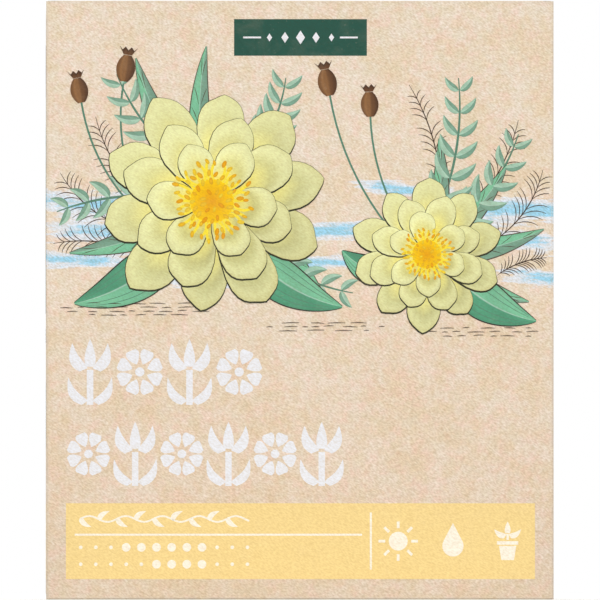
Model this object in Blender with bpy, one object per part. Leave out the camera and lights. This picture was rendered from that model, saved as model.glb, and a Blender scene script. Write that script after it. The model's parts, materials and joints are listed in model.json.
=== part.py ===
"""Printed folding carton for a small potted plant, erected, filled shape, lid closed.

One creased and glued blank of micro-flute board. The walls, the glue flap and the bottom
flaps never move once the carton is glued, so they are one solid. The lid, its tuck flap
and the two dust flaps under it turn about their creases, so each is a solid of its own.

Metres, +Z up. The origin is the middle of the underside, and the front faces -Y.
"""

import math

import bmesh
import bpy

# Outside of the carton
WIDTH = 0.144
DEPTH = 0.100
HEIGHT = 0.170

# Board and its creases
BOARD = 0.0012
HALF_BOARD = BOARD / 2
FOLD_RADIUS = 0.0006
FOLD_STEPS = 3
GAP = 0.0003
KNUCKLE_STEPS = 8

# Walls: the raw top edge of the front, and the edges under each crease
FRONT_TOP = HEIGHT - 0.0002
BACK_TOP = HEIGHT - BOARD - GAP
DUST_PIVOT_Z = HEIGHT - BOARD - GAP - HALF_BOARD
SIDE_TOP = DUST_PIVOT_Z - HALF_BOARD - GAP

# Lid and tuck flap, which slides down behind the front wall
LID_PIVOT_Y = DEPTH / 2 - HALF_BOARD
LID_PIVOT_Z = HEIGHT - HALF_BOARD
LID_SIDE_INSET = 0.0005
LID_CORNER_RADIUS = 0.0015
TUCK_SLIDE_ROOM = 0.0009
TUCK_PIVOT_Y = -DEPTH / 2 + BOARD + TUCK_SLIDE_ROOM + HALF_BOARD
TUCK_LENGTH = 0.014
TUCK_HALF_WIDTH = 0.0693
TUCK_TAPER = 0.004
TUCK_CORNER_RADIUS = 0.007
LID_END_ROOM = HALF_BOARD + 2 * GAP

# Dust flaps: their rear edge slopes so that they rise behind the opening lid
DUST_PIVOT_X = WIDTH / 2 - HALF_BOARD
DUST_LENGTH = 0.045
DUST_FRONT_Y = -0.0478
DUST_SHOULDER = 0.0016
DUST_SHOULDER_Y = -0.0430
DUST_FRONT_TIP_Y = -0.0390
DUST_REAR_Y = 0.0474
DUST_REAR_TIP_Y = 0.0245
DUST_CORNER_RADIUS = 0.006

# Bottom: an outer panel from the front wall, glued under two flaps from the side walls
BOTTOM_SIDE_INSET = 0.0004
BOTTOM_REAR_INSET = 0.0005
MINOR_FLAP_LENGTH = 0.050
MINOR_FLAP_TAPER = 0.006

# Glued seam in the rear left corner
GLUE_FLAP_WIDTH = 0.014
GLUE_FLAP_TOP = 0.160
GLUE_FLAP_TAPER = 0.006
SEAM_WIDTH = 0.0006
SEAM_DEPTH = 0.0006

ARC_STEPS = 6


def clear_scene():
    for old in list(bpy.data.objects):
        bpy.data.objects.remove(old, do_unlink=True)


def make_material(name, colour, roughness):
    material = bpy.data.materials.new(name)
    material.use_nodes = True
    shader = material.node_tree.nodes["Principled BSDF"]
    shader.inputs["Base Color"].default_value = (*colour, 1.0)
    shader.inputs["Roughness"].default_value = roughness
    shader.inputs["Metallic"].default_value = 0.0
    return material


def make_object(name, mesh, material=None):
    thing = bpy.data.objects.new(name, mesh)
    bpy.context.collection.objects.link(thing)
    if material is not None:
        mesh.materials.append(material)
    return thing


def finish_mesh(name, work):
    bmesh.ops.recalc_face_normals(work, faces=work.faces)
    mesh = bpy.data.meshes.new(name)
    work.to_mesh(mesh)
    work.free()
    return mesh


def box_mesh(name, low, high, is_fold=None):
    """A box between two corners. Edges that is_fold picks are rounded as creases."""
    work = bmesh.new()
    bmesh.ops.create_cube(work, size=1.0)
    for vert in work.verts:
        for axis in range(3):
            vert.co[axis] = high[axis] if vert.co[axis] > 0 else low[axis]
    if is_fold is not None:
        folds = [edge for edge in work.edges if is_fold(edge.verts[0].co, edge.verts[1].co)]
        bmesh.ops.bevel(work, geom=folds, offset=FOLD_RADIUS, segments=FOLD_STEPS,
                        profile=0.5, affect='EDGES')
    return finish_mesh(name, work)


def prism_mesh(name, outline, along, low, high):
    """A prism of an outline, extruded along one axis from low to high."""
    across = [axis for axis in range(3) if axis != along]
    work = bmesh.new()
    rings = []
    for level in (low, high):
        ring = []
        for point in outline:
            place = [0.0, 0.0, 0.0]
            place[along] = level
            place[across[0]] = point[0]
            place[across[1]] = point[1]
            ring.append(work.verts.new(place))
        rings.append(ring)
    work.faces.new(rings[0])
    work.faces.new(rings[1])
    for index in range(len(outline)):
        after = (index + 1) % len(outline)
        work.faces.new((rings[0][index], rings[0][after], rings[1][after], rings[1][index]))
    return finish_mesh(name, work)


def rounded(outline, radii):
    """The outline with each corner of a non-zero radius drawn as an arc."""
    points = []
    last = len(outline) - 1
    for index, (corner, radius) in enumerate(zip(outline, radii)):
        if radius == 0 or index in (0, last):
            points.append(corner)
            continue
        points.extend(corner_arc(outline[index - 1], corner, outline[index + 1], radius))
    return points


def corner_arc(before, corner, after, radius):
    """Points of the arc that rounds one corner of an outline."""
    into = (before[0] - corner[0], before[1] - corner[1])
    out = (after[0] - corner[0], after[1] - corner[1])
    into_length = math.hypot(*into)
    out_length = math.hypot(*out)
    into = (into[0] / into_length, into[1] / into_length)
    out = (out[0] / out_length, out[1] / out_length)
    half_angle = math.acos(into[0] * out[0] + into[1] * out[1]) / 2
    middle = (into[0] + out[0], into[1] + out[1])
    middle_length = math.hypot(*middle)
    reach = radius / math.sin(half_angle) / middle_length
    centre = (corner[0] + middle[0] * reach, corner[1] + middle[1] * reach)
    tangent = radius / math.tan(half_angle)
    start = (corner[0] + into[0] * tangent, corner[1] + into[1] * tangent)
    end = (corner[0] + out[0] * tangent, corner[1] + out[1] * tangent)
    first = math.atan2(start[1] - centre[1], start[0] - centre[0])
    sweep = math.atan2(end[1] - centre[1], end[0] - centre[0]) - first
    sweep = (sweep + math.pi) % (2 * math.pi) - math.pi
    return [(centre[0] + radius * math.cos(first + sweep * step / ARC_STEPS),
             centre[1] + radius * math.sin(first + sweep * step / ARC_STEPS))
            for step in range(ARC_STEPS + 1)]


def flap_mesh(name, outline):
    """A flap of board in its own frame, with its crease on the Y axis.

    The outline runs from one end of the crease round the free edges to the other, as
    (reach, place along the crease). The crease side is a half-round of the board's
    thickness, so the flap can turn about the middle of the board.
    """
    work = bmesh.new()
    upper = [work.verts.new((reach, along, HALF_BOARD)) for reach, along in outline]
    lower = [work.verts.new((reach, along, -HALF_BOARD)) for reach, along in outline]
    work.faces.new(upper)
    work.faces.new(lower)
    for index in range(len(outline) - 1):
        work.faces.new((upper[index], upper[index + 1], lower[index + 1], lower[index]))
    knuckles = []
    for end in (0, -1):
        along = outline[end][1]
        bend = [upper[end]]
        for step in range(1, KNUCKLE_STEPS):
            angle = math.pi * step / KNUCKLE_STEPS
            bend.append(work.verts.new((-HALF_BOARD * math.sin(angle), along,
                                        HALF_BOARD * math.cos(angle))))
        bend.append(lower[end])
        work.faces.new(bend)
        knuckles.append(bend)
    for step in range(KNUCKLE_STEPS):
        work.faces.new((knuckles[0][step], knuckles[1][step],
                        knuckles[1][step + 1], knuckles[0][step + 1]))
    mesh = finish_mesh(name, work)
    mesh.shade_smooth()
    mesh.set_sharp_from_angle(angle=math.radians(40))
    return mesh


def hide_cutter(thing):
    thing.hide_render = True
    thing.display_type = 'WIRE'


def combine(thing, other, operation):
    change = thing.modifiers.new(other.name, 'BOOLEAN')
    change.operation = operation
    change.solver = 'EXACT'
    change.object = other
    hide_cutter(other)


def make_front_wall():
    """The front wall, with its two side folds and the fold to the bottom panel."""
    front = -DEPTH / 2

    def is_fold(start, end):
        at_front = start.y < front + GAP and end.y < front + GAP
        at_top = start.z > HEIGHT / 2 and end.z > HEIGHT / 2
        return at_front and not at_top

    mesh = box_mesh("front_wall", (-WIDTH / 2, front, 0.0),
                    (WIDTH / 2, front + BOARD, FRONT_TOP), is_fold)
    return make_object("front_wall", mesh)


def make_side_and_back_shell():
    """A block for the side walls, back wall and inner bottom, hollowed by a cutter later.

    Its rear left corner stays square: the side wall ends there in a raw edge.
    """
    back = DEPTH / 2

    def is_fold(start, end):
        low = start.z < HEIGHT / 2 and end.z < HEIGHT / 2
        at_front = start.y < 0 and end.y < 0
        upright_right = start.x > 0 and end.x > 0 and start.y > 0 and end.y > 0 \
            and abs(start.z - end.z) > HEIGHT / 2
        return (low and not at_front) or upright_right

    mesh = box_mesh("shell", (-WIDTH / 2, -DEPTH / 2 + BOARD, BOARD),
                    (WIDTH / 2, back, BACK_TOP), is_fold)
    return make_object("shell", mesh)


def make_bottom_panel():
    """The outer bottom panel, cut a little short on its three free sides."""
    half = WIDTH / 2 - BOTTOM_SIDE_INSET
    mesh = box_mesh("bottom_panel", (-half, -DEPTH / 2 + HALF_BOARD, 0.0),
                    (half, DEPTH / 2 - BOTTOM_REAR_INSET, BOARD + HALF_BOARD))
    return make_object("bottom_panel", mesh)


def make_glue_flap():
    """The strip inside the rear left corner that the side wall is glued to."""
    back = DEPTH / 2 - HALF_BOARD
    edge = DEPTH / 2 - BOARD - GLUE_FLAP_WIDTH
    outline = [(back, BOARD), (edge, BOARD), (edge, GLUE_FLAP_TOP - GLUE_FLAP_TAPER),
               (back, GLUE_FLAP_TOP)]
    left = -WIDTH / 2 + HALF_BOARD
    mesh = prism_mesh("glue_flap", outline, 0, left, -WIDTH / 2 + 2 * BOARD)
    return make_object("glue_flap", mesh)


def make_inside_cutter():
    inner = WIDTH / 2 - BOARD
    mesh = box_mesh("inside", (-inner, -DEPTH / 2 + BOARD, 2 * BOARD),
                    (inner, DEPTH / 2 - BOARD, HEIGHT + BOARD))
    return make_object("inside", mesh)


def make_side_top_cutter():
    """Lowers both side walls to their creases, between the front and back walls."""
    mesh = box_mesh("side_tops", (-WIDTH, -DEPTH / 2 + BOARD, SIDE_TOP),
                    (WIDTH, DEPTH / 2 - BOARD, HEIGHT + BOARD))
    return make_object("side_tops", mesh)


def make_bottom_gap_cutter():
    """The gap between the two minor bottom flaps, down to the outer panel."""
    near = WIDTH / 2 - BOARD - MINOR_FLAP_LENGTH
    wide = near + MINOR_FLAP_TAPER
    edge = DEPTH / 2 - BOARD
    inner = edge - MINOR_FLAP_TAPER
    outline = [(-wide, -edge), (wide, -edge), (near, -inner), (near, inner),
               (wide, edge), (-wide, edge), (-near, inner), (-near, -inner)]
    mesh = prism_mesh("bottom_gap", outline, 2, BOARD, 3 * BOARD)
    return make_object("bottom_gap", mesh)


def make_seam_cutter():
    """The groove on the back between the side wall's raw edge and the back wall's fold."""
    middle = -WIDTH / 2 + BOARD
    back = DEPTH / 2
    outline = [(middle - SEAM_WIDTH / 4, back + GAP), (middle + SEAM_WIDTH, back + GAP),
               (middle, back - SEAM_DEPTH)]
    mesh = prism_mesh("seam", outline, 2, BOARD, HEIGHT)
    return make_object("seam", mesh)


def make_carton_body(material):
    body = make_side_and_back_shell()
    body.name = "carton_body"
    body.data.materials.append(material)
    combine(body, make_inside_cutter(), 'DIFFERENCE')
    combine(body, make_side_top_cutter(), 'DIFFERENCE')
    combine(body, make_front_wall(), 'UNION')
    combine(body, make_bottom_panel(), 'UNION')
    combine(body, make_bottom_gap_cutter(), 'DIFFERENCE')
    combine(body, make_glue_flap(), 'UNION')
    combine(body, make_seam_cutter(), 'DIFFERENCE')
    return body


def make_lid(material):
    """The lid panel, from its crease at the back to just short of the tuck crease."""
    half = WIDTH / 2 - LID_SIDE_INSET
    reach = LID_PIVOT_Y - TUCK_PIVOT_Y - LID_END_ROOM
    outline = rounded([(0.0, -half), (reach, -half), (reach, half), (0.0, half)],
                      [0, LID_CORNER_RADIUS, LID_CORNER_RADIUS, 0])
    lid = make_object("lid_panel", flap_mesh("lid_panel", outline), material)
    lid.location = (0.0, LID_PIVOT_Y, LID_PIVOT_Z)
    lid.rotation_euler = (0.0, 0.0, -math.pi / 2)
    return lid


def make_tuck_flap(material):
    """The flap at the lid's front, folded down behind the front wall."""
    half = TUCK_HALF_WIDTH
    outline = rounded([(0.0, -half), (TUCK_LENGTH, TUCK_TAPER - half),
                       (TUCK_LENGTH, half - TUCK_TAPER), (0.0, half)],
                      [0, TUCK_CORNER_RADIUS, TUCK_CORNER_RADIUS, 0])
    tuck = make_object("tuck_flap", flap_mesh("tuck_flap", outline), material)
    tuck.location = (0.0, TUCK_PIVOT_Y, LID_PIVOT_Z)
    tuck.rotation_euler = (0.0, math.pi / 2, -math.pi / 2)
    return tuck


def make_dust_flap(name, side, material):
    """A dust flap that folds in from the top of one side wall; side is -1 or 1."""
    corners = [(0.0, DUST_FRONT_Y), (DUST_SHOULDER, DUST_FRONT_Y),
               (2 * DUST_SHOULDER, DUST_SHOULDER_Y), (DUST_LENGTH, DUST_FRONT_TIP_Y),
               (DUST_LENGTH, DUST_REAR_TIP_Y), (0.0, DUST_REAR_Y)]
    radii = [0, 0, 0, DUST_CORNER_RADIUS, DUST_CORNER_RADIUS, 0]
    outline = rounded([(reach, -side * along) for reach, along in corners], radii)
    flap = make_object(name, flap_mesh(name, outline), material)
    flap.location = (side * DUST_PIVOT_X, 0.0, DUST_PIVOT_Z)
    flap.rotation_euler = (0.0, 0.0, math.pi if side > 0 else 0.0)
    return flap


def main():
    clear_scene()
    printed = make_material("printed_board", (0.80, 0.66, 0.49), 0.80)
    lid_board = make_material("lid_board", (0.80, 0.66, 0.49), 0.80)
    tuck_board = make_material("tuck_board", (0.76, 0.63, 0.47), 0.85)
    left_board = make_material("dust_board_left", (0.70, 0.56, 0.40), 0.88)
    right_board = make_material("dust_board_right", (0.70, 0.56, 0.40), 0.88)
    make_carton_body(printed)
    make_lid(lid_board)
    make_tuck_flap(tuck_board)
    make_dust_flap("dust_flap_left", -1, left_board)
    make_dust_flap("dust_flap_right", 1, right_board)


main()
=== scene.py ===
"""Looks of the printed folding carton: board, creases, paper, ink and the studio round it."""
import cmath
import json
import math
import random

import bmesh
import bpy
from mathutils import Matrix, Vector


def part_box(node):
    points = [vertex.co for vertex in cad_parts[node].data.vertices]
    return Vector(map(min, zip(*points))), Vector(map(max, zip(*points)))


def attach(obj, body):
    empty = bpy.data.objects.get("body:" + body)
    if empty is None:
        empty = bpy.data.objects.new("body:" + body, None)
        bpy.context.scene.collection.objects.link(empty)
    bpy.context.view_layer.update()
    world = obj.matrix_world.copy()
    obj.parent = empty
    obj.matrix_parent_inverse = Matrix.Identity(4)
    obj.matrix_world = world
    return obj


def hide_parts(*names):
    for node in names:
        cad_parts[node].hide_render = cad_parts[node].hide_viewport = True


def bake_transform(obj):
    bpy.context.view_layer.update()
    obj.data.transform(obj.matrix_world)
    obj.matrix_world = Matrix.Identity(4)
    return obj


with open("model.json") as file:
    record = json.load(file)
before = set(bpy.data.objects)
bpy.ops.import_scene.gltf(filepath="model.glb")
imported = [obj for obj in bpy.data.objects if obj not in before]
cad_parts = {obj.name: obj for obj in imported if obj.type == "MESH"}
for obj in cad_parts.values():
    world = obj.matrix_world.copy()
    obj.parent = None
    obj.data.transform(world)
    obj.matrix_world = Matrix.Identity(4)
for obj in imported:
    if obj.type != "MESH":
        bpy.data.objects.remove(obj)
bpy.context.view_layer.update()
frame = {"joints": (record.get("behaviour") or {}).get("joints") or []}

MM = 0.001


# Sizes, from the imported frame
BODY_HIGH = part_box("carton_body")[1]
LID_LOW, LID_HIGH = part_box("lid_panel")
TUCK_LOW, TUCK_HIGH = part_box("tuck_flap")
DUST_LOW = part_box("dust_flap_right")[0]
JOINTS = {joint["name"]: Vector(joint["pos_m"]) for joint in frame["joints"]}
HALF_W, HALF_D, FRONT_TOP = BODY_HIGH
HEIGHT = LID_HIGH.z
BOARD = LID_HIGH.z - LID_LOW.z
HALF_BOARD = BOARD / 2
LID_PIVOT = JOINTS["lid_crease"]
TUCK_PIVOT = JOINTS["tuck_crease"]
DUST_PIVOT = JOINTS["dust_crease_right"]

# Board and creases
CREASE_REACH = 0.9 * MM
TUCK_REACH = 1.35 * MM
SCORE_DEPTH = 0.13 * MM
CREASE_GAP = 0.1 * MM
CREASE_ARC = 8
CREASE_STEPS = 2
BACK_TOP = LID_PIVOT.z - CREASE_REACH
SIDE_TOP = DUST_PIVOT.z - CREASE_REACH
FOLD_RADIUS = 0.6 * MM
FOLD_STEPS = 6
FLUTE_PITCH = 2.4 * MM
GRAZE = 0.01 * MM
CORNER_STEPS = 8
# Edges that turn less than this, in degrees, look smooth
WALL_SMOOTH, CREASE_SMOOTH = 40, 50
# How squarely a face has to look out to be printed, and in to be kraft
PRINTED_FACING, KRAFT_FACING = 0.3, 0.9

# Flaps
BOTTOM_INSET = 0.4 * MM
BOTTOM_BACK_GAP = 0.5 * MM
MINOR_FLAP = 50 * MM
GLUE_FLAP = 14 * MM
GLUE_FLAP_TOP = 158 * MM
LID_CORNER = 1.5 * MM
TUCK_CORNER = 7 * MM
TUCK_TAPER = 4 * MM
TUCK_CREASE_INSET = 0.25 * MM
DUST_CORNER = 6 * MM
DUST_FRONT_Y = -47.8 * MM
DUST_SHOULDER = 1.6 * MM
DUST_SHOULDER_Y = -43.0 * MM
DUST_FRONT_TIP_Y = -39.0 * MM
DUST_REAR_Y = 47.4 * MM
DUST_REAR_TIP_Y = 24.5 * MM
DUST_CREASE_INSET = 0.4 * MM

# Ways out from the middle of the carton
RIGHT, BACK, UP = Vector((1, 0, 0)), Vector((0, 1, 0)), Vector((0, 0, 1))
LEFT, FRONT, DOWN = -RIGHT, -BACK, -UP


# Colours and node helpers

def srgb(red, green, blue):
    """A colour given as 0 to 255 screen values, as linear values."""
    def linear(value):
        value /= 255.0
        return value / 12.92 if value <= 0.04045 else ((value + 0.055) / 1.055) ** 2.4
    return (linear(red), linear(green), linear(blue), 1.0)


PAPER_WARM = srgb(232, 209, 178)
PAPER_COOL = srgb(238, 222, 204)
PAPER_ROSE = srgb(242, 205, 188)
PAPER_SAND = srgb(222, 212, 180)
# Painted shade: the low part darker and warmer, the foot darker and greyer
PAPER_LOW_SHADE = srgb(206, 168, 138)
PAPER_FOOT_SHADE = srgb(174, 176, 158)
# Worn paper, greyer and darker, with painted shade along the folds
RUBBED_AND_SHADED = srgb(214, 203, 186)
SKY_PALE = srgb(228, 232, 238)
KRAFT = srgb(196, 164, 124)
KRAFT_PALE = srgb(206, 176, 138)
KRAFT_DARK = srgb(150, 116, 80)
KRAFT_FLECK = srgb(120, 88, 58)
EDGE_SHADOW = srgb(92, 68, 46)
EDGE_MEDIUM = srgb(176, 140, 102)
EDGE_LINER = srgb(208, 182, 148)

# The paper's stains: where each noise starts, how fine it is, and its share
STAINS = (((0.0, 0.0, 0.0), 24.0, 0.14), ((3.1, 1.7, 0.4), 70.0, 0.22),
          ((7.3, 5.9, 2.2), 190.0, 0.32), ((1.3, 8.1, 6.2), 430.0, 0.32))
# Tints that the blush brings out: where each starts and is full, its strength and colour
BLUSHES = ((0.48, 0.70, 0.45, PAPER_ROSE), (0.52, 0.30, 0.34, PAPER_SAND))
# Painted shade on the low part of the carton, darker towards the bottom: the height that each
# starts at, its strength and colour
LOW_SHADES = ((120 * MM, 0.18, PAPER_LOW_SHADE), (30 * MM, 0.10, PAPER_FOOT_SHADE))
# How strongly the painted light and shade of the felt grain's relief shows in red, green and blue
GRAIN_SHADE_SHARES = (("Red", 1.00), ("Green", 1.36), ("Blue", 1.90))
FELT_TURN = (-0.45, -0.45, 0.0)
FELT_STRETCH = (1.0, 1.0, 2.3)
# How far the wear and painted shade reach in from each fold, where they are full, and how strong
# they are
WEAR_SHADE_REACH, WEAR_SHADE_FULL = 1.1 * MM, 0.15 * MM
WEAR_SHADE_STRENGTH = 0.6


class Nodes:
    """Short calls for building a node tree."""

    def __init__(self, tree):
        self.tree = tree

    def add(self, kind, **settings):
        node = self.tree.nodes.new("ShaderNode" + kind)
        for name, value in settings.items():
            setattr(node, name, value)
        return node

    def feed(self, socket, value):
        if isinstance(value, bpy.types.NodeSocket):
            self.tree.links.new(value, socket)
        else:
            socket.default_value = value

    def fed(self, kind, inputs, **settings):
        """A node with some of its inputs fed, by name or by number."""
        node = self.add(kind, **settings)
        for name, value in inputs.items():
            self.feed(node.inputs[name], value)
        return node

    def math(self, operation, first, second=0.0, clamp=False):
        return self.fed("Math", {0: first, 1: second}, operation=operation,
                        use_clamp=clamp).outputs[0]

    def plus(self, first, second):
        return self.math('ADD', first, second)

    def times(self, first, second):
        return self.math('MULTIPLY', first, second)

    def from_middle(self, value):
        """How far a value is from a half, with its sign."""
        return self.math('SUBTRACT', value, 0.5)

    def sloped(self, value, slope, base):
        return self.plus(self.times(value, slope), base)

    def mix(self, share, first, second, blend='MIX'):
        return self.fed("Mix", {"Factor": share, 6: first, 7: second}, data_type='RGBA',
                        blend_type=blend).outputs[2]

    def noise(self, place, scale, detail=3.0, roughness=0.55, distortion=0.0):
        return self.fed("TexNoise", {"Vector": place, "Scale": scale, "Detail": detail,
                                     "Roughness": roughness,
                                     "Distortion": distortion}).outputs["Fac"]

    def ramp(self, value, low, high):
        """0 below low, 1 above high, smooth between."""
        return self.fed("MapRange", {"Value": value, "From Min": low, "From Max": high},
                        interpolation_type='SMOOTHSTEP').outputs["Result"]

    def tinted(self, colour, value, low, high, strength, tint):
        """The colour, turned towards a tint as the value goes from low to high."""
        return self.mix(self.times(self.ramp(value, low, high), strength), colour, tint)

    def grain_shaded(self, colour, shade, share=1.0):
        """The colour with painted light and shade of the felt grain's relief in it: lighter on its
        raised fibres, darker in its hollows. shade is 1 on average.
        """
        tint = self.fed("CombineColor", {
            channel: self.sloped(shade, strength * share, 1.0 - strength * share)
            for channel, strength in GRAIN_SHADE_SHARES})
        return self.mix(1.0, colour, tint.outputs["Color"], 'MULTIPLY')

    def shifted(self, place, offset=(0.0, 0.0, 0.0), scale=(1.0, 1.0, 1.0), turn=(0.0, 0.0, 0.0)):
        return self.fed("Mapping", {"Vector": place, "Location": offset, "Rotation": turn,
                                    "Scale": scale}).outputs["Vector"]

    def place(self):
        """Where a point is on the carton."""
        return self.add("TexCoord").outputs["Object"]

    def axes(self, place):
        return self.fed("SeparateXYZ", {0: place}).outputs


def new_material(name, specular=0.3):
    material = bpy.data.materials.new(name)
    material.use_nodes = True
    shader = material.node_tree.nodes["Principled BSDF"]
    shader.inputs["Specular IOR Level"].default_value = specular
    return material, Nodes(material.node_tree), shader.inputs


def lay_surface(nodes, shader, colour, roughness, height, depth=0.06 * MM, strength=0.55):
    """Gives a material its colour, its roughness and its relief."""
    bump = nodes.fed("Bump", {"Strength": strength, "Distance": depth, "Height": height})
    nodes.feed(shader["Base Color"], colour)
    nodes.feed(shader["Roughness"], roughness)
    nodes.feed(shader["Normal"], bump.outputs["Normal"])


def paper_group():
    """The printed paper face: soft stains, felt grain with painted light and shade of its relief,
    worn folds with painted shade, and painted shade low down, in object space.
    """
    tree = bpy.data.node_groups.new("paper_face", "ShaderNodeTree")
    nodes = Nodes(tree)
    place = nodes.place()
    axes = nodes.axes(place)
    blush = nodes.noise(nodes.shifted(place, (5.1, 0.7, 3.4)), 330.0, 4.0, 0.6)
    felt = nodes.shifted(nodes.shifted(place, turn=FELT_TURN), scale=FELT_STRETCH)
    grain = nodes.noise(felt, 1350.0, 0.0, 0.5, 0.2)
    fine = nodes.noise(nodes.shifted(felt, (0.5, 0.2, 0.9)), 2400.0, 1.0, 0.5)
    height = nodes.plus(nodes.times(grain, 0.75), nodes.times(fine, 0.25))
    # Painted light and shade of the felt's relief: lighter where it is high, darker in its hollows
    shade = nodes.sloped(height, 0.53, 0.735)
    out = tree.nodes.new("NodeGroupOutput")
    for name, kind, source in (
            ("Color", "Color", nodes.grain_shaded(paper_colour(nodes, place, axes, blush), shade)),
            ("GrainShade", "Float", shade), ("Height", "Float", height),
            ("WearAndShade", "Float", fold_wear_and_shade(nodes, axes, blush))):
        tree.interface.new_socket(name, in_out='OUTPUT', socket_type="NodeSocket" + kind)
        nodes.feed(out.inputs[name], source)
    return tree


def paper_colour(nodes, place, axes, blush):
    """Stains from warm to cool, blushes over them, and painted shade that darkens the low part."""
    stain = 0.0
    for offset, scale, share in STAINS:
        cloud = nodes.noise(nodes.shifted(place, offset), scale, 4.0, 0.6, 0.4)
        stain = nodes.plus(stain, nodes.times(cloud, share))
    colour = nodes.mix(nodes.ramp(stain, 0.39, 0.61), PAPER_WARM, PAPER_COOL)
    for low, high, strength, tint in BLUSHES:
        colour = nodes.tinted(colour, blush, low, high, strength, tint)
    # Painted shade, darker towards the bottom
    for start, strength, tint in LOW_SHADES:
        colour = nodes.tinted(colour, axes["Z"], start, 0.0, strength, tint)
    return colour


def fold_wear_and_shade(nodes, axes, breakup):
    """How worn the paper is, with painted shade, by the distance to the carton's folds: both grow
    towards each fold.
    """
    def near(axis, limit):
        size = nodes.math('ABSOLUTE', axes[axis])
        return nodes.ramp(size, limit - WEAR_SHADE_REACH, limit - WEAR_SHADE_FULL)
    side = near("X", HALF_W)
    face = near("Y", HALF_D)
    base = nodes.ramp(axes["Z"], WEAR_SHADE_REACH, WEAR_SHADE_FULL)
    ends = nodes.math('MAXIMUM', near("Z", HEIGHT), base)
    edge = nodes.math('MAXIMUM', nodes.times(side, face),
                      nodes.times(ends, nodes.math('MAXIMUM', side, face)))
    return nodes.times(edge, nodes.ramp(breakup, 0.30, 0.62))


PAPER_FACE = paper_group()


def printed(name, colouring, matt):
    """A printed material: a colouring over the grain and relief of the paper."""
    material, nodes, shader = new_material(name)
    face = nodes.add("Group", node_tree=PAPER_FACE).outputs
    lay_surface(nodes, shader, colouring(nodes, face), nodes.times(face["GrainShade"], matt),
                face["Height"])
    return material


def rubbed_and_shaded(nodes, face, colour):
    """The colour, worn along the carton's folds and painted darker there as shade."""
    return nodes.mix(nodes.times(face["WearAndShade"], WEAR_SHADE_STRENGTH), colour, RUBBED_AND_SHADED)


def bare(nodes, face):
    return rubbed_and_shaded(nodes, face, face["Color"])


def inked(nodes, face):
    """Ink on the paper. The mesh's ink colour says what is printed, its alpha how much."""
    ink = nodes.add("Attribute", attribute_name="ink").outputs
    place = nodes.place()
    granules = nodes.noise(place, 900.0, 3.0, 0.65)
    pools = nodes.noise(nodes.shifted(place, (4.0, 2.0, 9.0)), 120.0, 4.0, 0.6, 0.6)
    gaps = nodes.times(nodes.ramp(granules, 0.58, 0.80), 0.12)
    cover = nodes.math('MAXIMUM', nodes.math('SUBTRACT', ink["Alpha"], gaps), 0.0)
    cover = nodes.math('MULTIPLY', cover, nodes.plus(0.90, nodes.times(pools, 0.2)), True)
    # The ink takes part of the grain's painted light and shade
    laid = nodes.grain_shaded(ink["Color"], face["GrainShade"], 0.55)
    return rubbed_and_shaded(nodes, face, nodes.mix(cover, face["Color"], laid))


def washed(nodes, face):
    """Thin watercolour. The alpha says how full it is, and it breaks up in streaks."""
    ink = nodes.add("Attribute", attribute_name="ink").outputs
    place = nodes.place()
    streaks = nodes.noise(nodes.shifted(place, scale=(1.0, 1.0, 9.0)), 70.0, 5.0, 0.6)
    dry = nodes.noise(nodes.shifted(place, (0.0, 0.0, 0.3), (1.0, 1.0, 2.5)), 420.0, 3.0, 0.6)
    broken = nodes.plus(nodes.times(nodes.from_middle(streaks), 1.5),
                        nodes.times(nodes.from_middle(dry), 0.6))
    amount = nodes.plus(ink["Alpha"], broken)
    cover = nodes.times(nodes.ramp(amount, 0.30, 0.52), nodes.ramp(ink["Alpha"], 0.03, 0.2))
    colour = nodes.mix(nodes.ramp(amount, 0.55, 0.95), SKY_PALE, ink["Color"])
    # The wash takes the grain's painted light and shade in full
    return nodes.mix(nodes.times(cover, 0.9), face["Color"], nodes.grain_shaded(colour, face["GrainShade"]))


def kraft_inside():
    """The plain inner liner, with the flutes showing through as faint ribs."""
    material, nodes, shader = new_material("kraft_inside", 0.2)
    place = nodes.place()
    fibre = nodes.noise(nodes.shifted(place, scale=(1.0, 1.0, 0.35)), 900.0, 4.0, 0.7)
    cloud = nodes.noise(place, 45.0, 4.0, 0.6)
    fleck = nodes.noise(nodes.shifted(place, (2.0, 5.0, 1.0)), 1500.0, 2.0, 0.5)
    colour = nodes.mix(nodes.ramp(cloud, 0.3, 0.7), KRAFT, KRAFT_PALE)
    colour = nodes.tinted(colour, fibre, 0.5, 0.75, 0.35, KRAFT_DARK)
    colour = nodes.tinted(colour, fleck, 0.66, 0.74, 0.5, KRAFT_FLECK)
    ribs = nodes.fed("TexWave", {"Vector": nodes.shifted(place, scale=(1.0, 1.0, 0.0)),
                                 "Scale": math.tau / 20.0 / FLUTE_PITCH},
                     wave_type='BANDS', bands_direction='X')
    height = nodes.plus(nodes.times(fibre, 0.5), nodes.times(ribs.outputs["Fac"], 0.5))
    lay_surface(nodes, shader, colour, nodes.sloped(fibre, 0.2, 0.74), height, 0.05 * MM, 0.5)
    return material


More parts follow.
